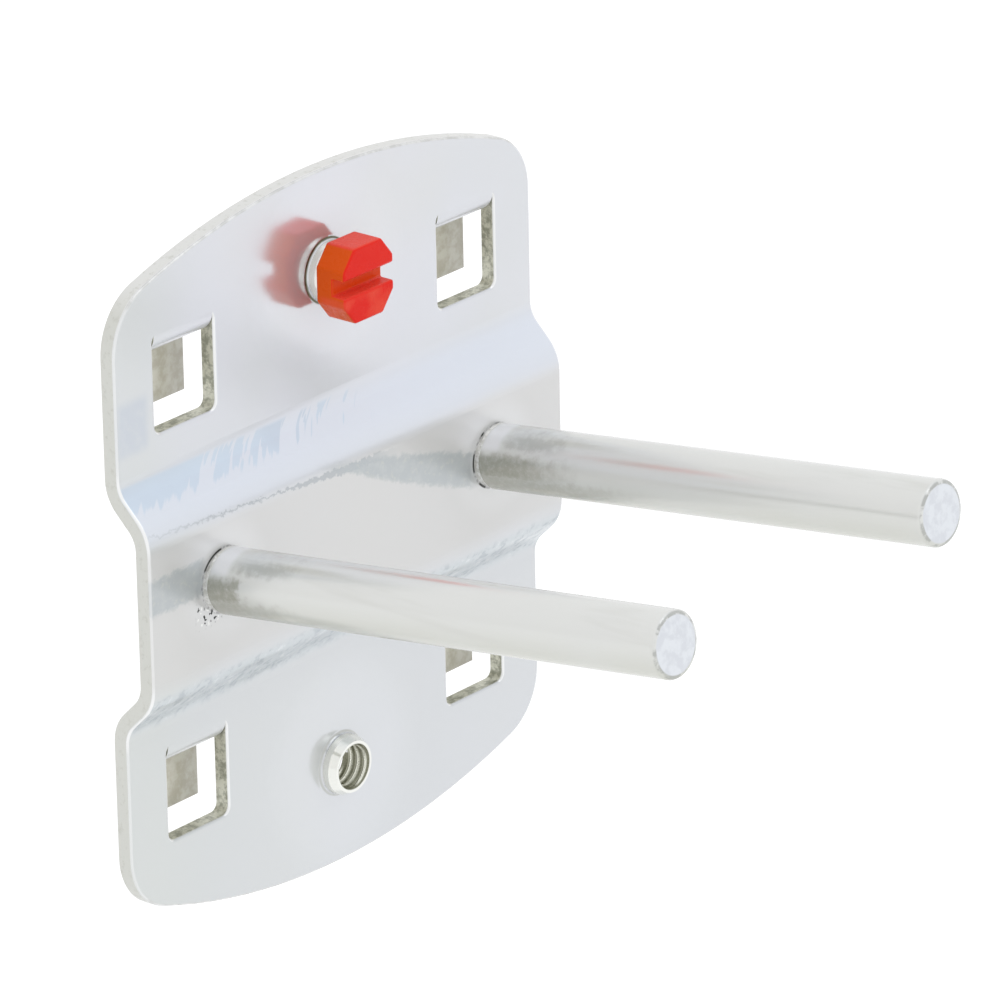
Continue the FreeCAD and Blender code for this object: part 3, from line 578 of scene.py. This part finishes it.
def plastic_material():
    """Moulded red plastic: deeper orange on the sides and in the slot as painted shade, lighter on the top
    and the rear as painted light, a little mottled.
    """
    material, tree, shader = new_material("red_plastic_looks")
    coordinates = node(tree, "ShaderNodeTexCoord")
    place = coordinates.outputs["Object"]
    x, y, z = node(tree, "ShaderNodeSeparateXYZ", {0: place}).outputs
    normal = node(tree, "ShaderNodeSeparateXYZ", {0: coordinates.outputs["Normal"]}).outputs
    face = maths(tree, "ABSOLUTE", normal[1])
    cloud = noise(tree, place, 330.0, 3.0)
    grain = noise(tree, place, 1500.0, 2.0)
    colour = mix(tree, cloud, RED["deep"], RED["light"])

    # Sides and the slot's floor are more orange than the front, as painted shade; top and lower lobe a little
    # lighter, the top as painted light
    sides = ramp(tree, face, 0.55, 0.30)
    top = ramp(tree, normal[2], 0.6, 0.9)
    slot_floor = times(tree, ramp(tree, y, -0.00505, -0.00480), ramp(tree, face, 0.55, 0.80))
    not_top = maths(tree, "SUBTRACT", 1.0, top)
    orange = maths(tree, "MAXIMUM", maths(tree, "MULTIPLY", sides, not_top), slot_floor)
    colour = mix(tree, maths(tree, "MULTIPLY", orange, 0.85), colour, RED["side"])
    colour = mix(tree, maths(tree, "MULTIPLY", top, 0.5), colour, RED["top"])
    below = ramp(tree, z, (COLLAR_RISE - 0.8) * MM, (COLLAR_RISE - 1.2) * MM)
    colour = mix(tree, times(tree, below, ramp(tree, cloud, 0.40, 0.62), 0.5), colour, RED["below"])
    # Painted light: the rear a brighter red, standing in for light through the plastic.
    colour = mix(tree, ramp(tree, normal[1], 0.6, 0.9), colour, RED["rear"])
    bump = node(tree, "ShaderNodeBump", {"Height": cloud, "Strength": 0.10, "Distance": BUMP_DEPTH})
    tree.links.new(colour, shader.inputs["Base Color"])
    tree.links.new(ramp(tree, grain, 0.3, 0.7, 0.24, 0.36), shader.inputs["Roughness"])
    tree.links.new(bump.outputs["Normal"], shader.inputs["Normal"])
    shader.inputs["IOR"].default_value = 1.5
    shader.inputs["Specular IOR Level"].default_value = 0.12
    return material


# Shapes
def join_rows(work, rows, closed):
    """Join rows of vertices by four-sided faces; closed rows go round the axis."""
    start = 0 if closed else 1
    faces = []
    for first, second in zip(rows, rows[1:]):
        for n in range(start, len(first)):
            faces.append(work.faces.new((first[n - 1], first[n], second[n], second[n - 1])))
    for face in faces:
        face.smooth = True
    return faces


def finish_mesh(name, work, place):
    """Turn the work into a mesh and move it to its place, in millimetres."""
    mesh = bpy.data.meshes.new(name)
    work.to_mesh(mesh)
    work.free()
    mesh.transform(Matrix.Translation(Vector(place) * MM))
    return mesh


def head_shape(work, vertex):
    """Slotted head, sharp: two lobes on a common rear, with its corners cut where the slot ends."""
    front = -HEAD_FRONT
    floor = front + SLOT_DEPTH
    rear = -COLLAR_MOUTH
    half = SLOT_WIDTH / 2
    turns = ((1, 1), (-1, 1), (-1, -1), (1, -1))

    def outline(along):
        corners = {}
        for i, j in turns:
            corners[i, j, 0] = vertex(i * HEAD_HALF, along, j * HEAD_CHEEK)
            corners[i, j, 1] = vertex(i * HEAD_FLAT, along, j * HEAD_TOP)
        return corners

    back = outline(rear)
    fore = outline(front)
    lip = {(i, j): vertex(i * HEAD_HALF, front, j * half) for i, j in turns}
    deep = {(i, j): vertex(i * HEAD_HALF, floor, j * half) for i, j in turns}
    work.faces.new([back[key] for i, j in turns for key in ((i, j, 0), (i, j, 1))[::i * j]])
    for i, j in turns:
        work.faces.new((back[i, j, 0], back[i, j, 1], fore[i, j, 1], fore[i, j, 0]))
    for j in (1, -1):
        work.faces.new((back[1, j, 1], back[-1, j, 1], fore[-1, j, 1], fore[1, j, 1]))
        work.faces.new((fore[1, j, 0], fore[1, j, 1], fore[-1, j, 1], fore[-1, j, 0], lip[-1, j], lip[1, j]))
        work.faces.new((lip[1, j], lip[-1, j], deep[-1, j], deep[1, j]))
        work.faces.new((back[j, 1, 0], fore[j, 1, 0], lip[j, 1], deep[j, 1], deep[j, -1], lip[j, -1],
                        fore[j, -1, 0], back[j, -1, 0]))
    work.faces.new((deep[1, 1], deep[-1, 1], deep[-1, -1], deep[1, -1]))


def screw_mesh(name):
    """Moulded screw: slotted head with rounded edges, and a shank with its thread."""
    work = bmesh.new()

    def vertex(across, along, up):
        return work.verts.new(Vector((across, along, up)) * MM)

    head_shape(work, vertex)
    bmesh.ops.recalc_face_normals(work, faces=work.faces)
    bmesh.ops.bevel(work, geom=list(work.edges), offset=HEAD_ROUNDING * MM, segments=3, profile=0.5,
                    affect="EDGES", clamp_overlap=True)
    plain = sorted(work.faces, key=lambda face: face.calc_area())[-HEAD_FACES:]
    for face in work.faces:
        face.smooth = face not in plain

    start = -COLLAR_MOUTH - SHANK_OVERLAP
    rings = []
    for step in range(SHANK_STEPS + 1):
        along = start + (SHANK_END - start) * step / SHANK_STEPS
        tapered = SHANK_RADIUS - (along - SHANK_END + SHANK_TAPER)
        ring = []
        for n in range(SHANK_SEGMENTS):
            turn = n / SHANK_SEGMENTS
            depth = abs(((along / THREAD_PITCH + turn) % 1.0) * 2.0 - 1.0)
            radius = min(SHANK_RADIUS - SHANK_THREAD_DEPTH * depth, tapered)
            angle = 2 * math.pi * turn
            ring.append(vertex(radius * math.cos(angle), along, radius * math.sin(angle)))
        rings.append(ring)
    shank = join_rows(work, rings, closed=True)
    shank.append(work.faces.new(rings[-1]))
    bmesh.ops.recalc_face_normals(work, faces=shank)
    return finish_mesh(name, work, (0, 0, COLLAR_RISE))


def thread_mesh(name):
    """Thread in the lower collar: a helical ridge that rises from the bore's wall at both ends."""
    work = bmesh.new()
    root = BORE_RADIUS + RIDGE_SINK
    crest = CREST_RADIUS
    section = ((root, -RIDGE_HALF), (crest, -CREST_HALF), (crest, CREST_HALF), (root, RIDGE_HALF))
    first_step = -RIDGE_STEPS // 3
    last_step = RIDGE_TURNS * RIDGE_STEPS
    rows = []
    for step in range(first_step, last_step + 1):
        rise = min(1.0, (step - first_step) / RIDGE_LEAD_IN, (last_step - step) / RIDGE_LEAD_IN)
        angle = 2 * math.pi * step / RIDGE_STEPS
        along = THREAD_PITCH * step / RIDGE_STEPS
        row = []
        for radius, shift in section:
            depth = max(along + shift, MOUTH_MARGIN - RIDGE_START)
            reach = root + (radius - root) * rise
            point = Vector((reach * math.cos(angle), depth, reach * math.sin(angle)))
            row.append(work.verts.new(point * MM))
        rows.append(row)
    join_rows(work, rows, closed=False)
    bmesh.ops.recalc_face_normals(work, faces=work.faces)
    return finish_mesh(name, work, (0, RIDGE_START - COLLAR_MOUTH, -COLLAR_RISE))


def dress(obj, material):
    obj.data.materials.clear()
    obj.data.materials.append(material)


def new_object(name, mesh, material):
    obj = bpy.data.objects.new(name, mesh)
    bpy.context.scene.collection.objects.link(obj)
    dress(obj, material)
    return obj


# Materials on the CAD nodes
dress(nodes["plate"], plate_material())
dress(nodes["pin_left"], pin_material("left_pin_looks", -1, 3.2, 5.0))
dress(nodes["pin_right"], pin_material("right_pin_looks", 1, 3.9, 13.0))
red_plastic = plastic_material()
dress(nodes["locking_screw"], red_plastic)

# Locking screw, moulded with rounded corners in place of the plain CAD node
screw = new_object("moulded_screw", screw_mesh("moulded_screw"), red_plastic)
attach(screw, "screw")
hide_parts("locking_screw")

# Thread in the lower collar
thread = new_object("lower_thread", thread_mesh("lower_thread"), thread_material())
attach(thread, "holder")

# Studio: white floor and surround; what the camera and the metal see of the floor is lifted to white
FLOOR_HALF = 4.0
FLOOR_LEVEL = -0.12
FLOOR_LIFT = 0.2
floor_mesh = bpy.data.meshes.new("floor")
floor_corners = [(-FLOOR_HALF, -FLOOR_HALF, 0), (FLOOR_HALF, -FLOOR_HALF, 0),
                 (FLOOR_HALF, FLOOR_HALF, 0), (-FLOOR_HALF, FLOOR_HALF, 0)]
floor_mesh.from_pydata(floor_corners, [], [(0, 1, 2, 3)])
floor_material, floor_tree, floor_shader = new_material("floor_looks")
floor_shader.inputs["Base Color"].default_value = (0.90, 0.90, 0.90, 1.0)
floor_shader.inputs["Roughness"].default_value = 0.9
floor_path = node(floor_tree, "ShaderNodeLightPath")
seen = maths(floor_tree, "MAXIMUM", floor_path.outputs["Is Camera Ray"], floor_path.outputs["Is Glossy Ray"])
seen = maths(floor_tree, "MAXIMUM", seen, floor_path.outputs["Is Transmission Ray"])
lift = maths(floor_tree, "MULTIPLY", seen, FLOOR_LIFT)
floor_glow = node(floor_tree, "ShaderNodeEmission", {"Strength": lift})
floor_parts = {0: floor_shader.outputs["BSDF"], 1: floor_glow.outputs["Emission"]}
floor_sum = node(floor_tree, "ShaderNodeAddShader", floor_parts)
floor_tree.links.new(floor_sum.outputs[0], floor_tree.nodes["Material Output"].inputs["Surface"])
floor = new_object("floor", floor_mesh, floor_material)
floor.location.z = FLOOR_LEVEL

# World: white all round, with a faint bluish part above the front that the metal picks up
WHITE = (1.0, 1.0, 1.0)
BLUISH = (0.97, 1.0, 1.05)
BLUISH_SIDE = (0.3, -0.5, 0.85)
world = bpy.data.worlds.new("studio")
bpy.context.scene.world = world
world.use_nodes = True
sky = world.node_tree
sky.nodes.clear()
direction = node(sky, "ShaderNodeTexCoord").outputs["Generated"]
surround = mix(sky, spot(sky, direction, BLUISH_SIDE, 10, 45), WHITE, BLUISH)
path = node(sky, "ShaderNodeLightPath")
shown = mix(sky, path.outputs["Is Camera Ray"], surround, WHITE)
back_light = node(sky, "ShaderNodeBackground", {"Color": shown, "Strength": 1.0})
sky_out = node(sky, "ShaderNodeOutputWorld")
sky.links.new(back_light.outputs[0], sky_out.inputs["Surface"])

# One soft box above the front, which looks at the part
SOFTBOX_PLACE = (0.25, -0.55, 0.75)
SOFTBOX_SIZE = 0.5
SOFTBOX_POWER = 0.6
softbox_lamp = bpy.data.lights.new("key_softbox", "AREA")
softbox_lamp.shape = "RECTANGLE"
softbox_lamp.size = SOFTBOX_SIZE
softbox_lamp.size_y = SOFTBOX_SIZE
softbox_lamp.energy = SOFTBOX_POWER
softbox = bpy.data.objects.new("key_softbox", softbox_lamp)
bpy.context.scene.collection.objects.link(softbox)
softbox.location = SOFTBOX_PLACE
softbox.rotation_euler = (-Vector(SOFTBOX_PLACE)).to_track_quat("-Z", "Y").to_euler()

# Camera, fitted to the photograph
AZIMUTH = math.radians(-50.352)
ELEVATION = math.radians(21.466)
ROLL = math.radians(-1.166)
DISTANCE = 0.771
AIM = Vector((-0.007185, -0.0265, 0.009909))
FOCAL_PIXELS = 9033.2
IMAGE_PIXELS = 1000.0
SENSOR_WIDTH = 36.0
back = Vector((math.sin(AZIMUTH), -math.cos(AZIMUTH), 0.0)) * math.cos(ELEVATION)
back.z = math.sin(ELEVATION)
level = Vector((math.cos(AZIMUTH), math.sin(AZIMUTH), 0.0))
upright = back.cross(level)
right = math.cos(ROLL) * level + math.sin(ROLL) * upright
up = -math.sin(ROLL) * level + math.cos(ROLL) * upright
camera_data = bpy.data.cameras.new("camera")
camera = bpy.data.objects.new("camera", camera_data)
bpy.context.scene.collection.objects.link(camera)
turn = Matrix((right, up, back)).transposed().to_4x4()
camera.matrix_world = Matrix.Translation(AIM + back * DISTANCE) @ turn
camera_data.sensor_width = SENSOR_WIDTH
camera_data.lens = FOCAL_PIXELS * SENSOR_WIDTH / IMAGE_PIXELS
camera_data.clip_start = 0.01
camera_data.clip_end = 50.0
bpy.context.scene.camera = camera

bpy.context.scene.view_settings.view_transform = "Standard"
bpy.context.scene.view_settings.look = "None"
